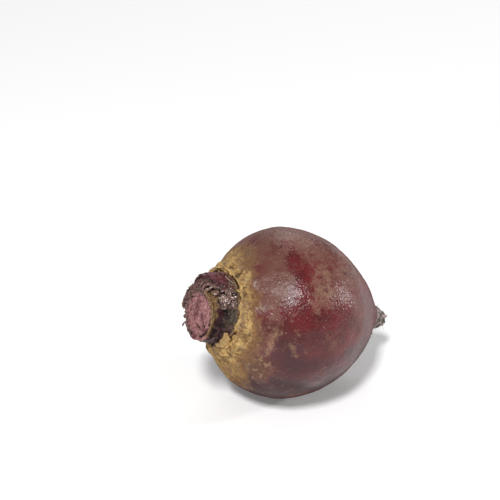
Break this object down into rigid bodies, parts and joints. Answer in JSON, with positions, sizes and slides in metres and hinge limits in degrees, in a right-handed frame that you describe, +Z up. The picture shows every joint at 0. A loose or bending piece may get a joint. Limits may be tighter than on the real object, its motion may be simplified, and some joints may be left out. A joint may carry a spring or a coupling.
{
  "type": "beetroot",
  "caption": "Whole raw beetroot with a round purple-red root, corky tan shoulder, broken tap root and a trimmed stump of leaf stalks, lying on its side.",
  "frame": {"origin": "centre of the small flat spot that the beetroot rests on", "axes": "+Z up from the table, -X towards the crown, +X towards the tap root along the longest extent, -Y towards the side seen in the picture"},
  "size_m": [0.1009, 0.0759, 0.0748],
  "materials": {
    "root_skin": "thin waxy purple-red skin, dusty brown in patches and corky tan round the crown",
    "cut_stalks": "dull, fibrous cut stalks, pink where they were cut and dark purple to grey-brown where they dried"
  },
  "bodies": {
    "root": {"root": "root_skin", "leaf_stalks": "cut_stalks"}
  },
  "joints": []
}
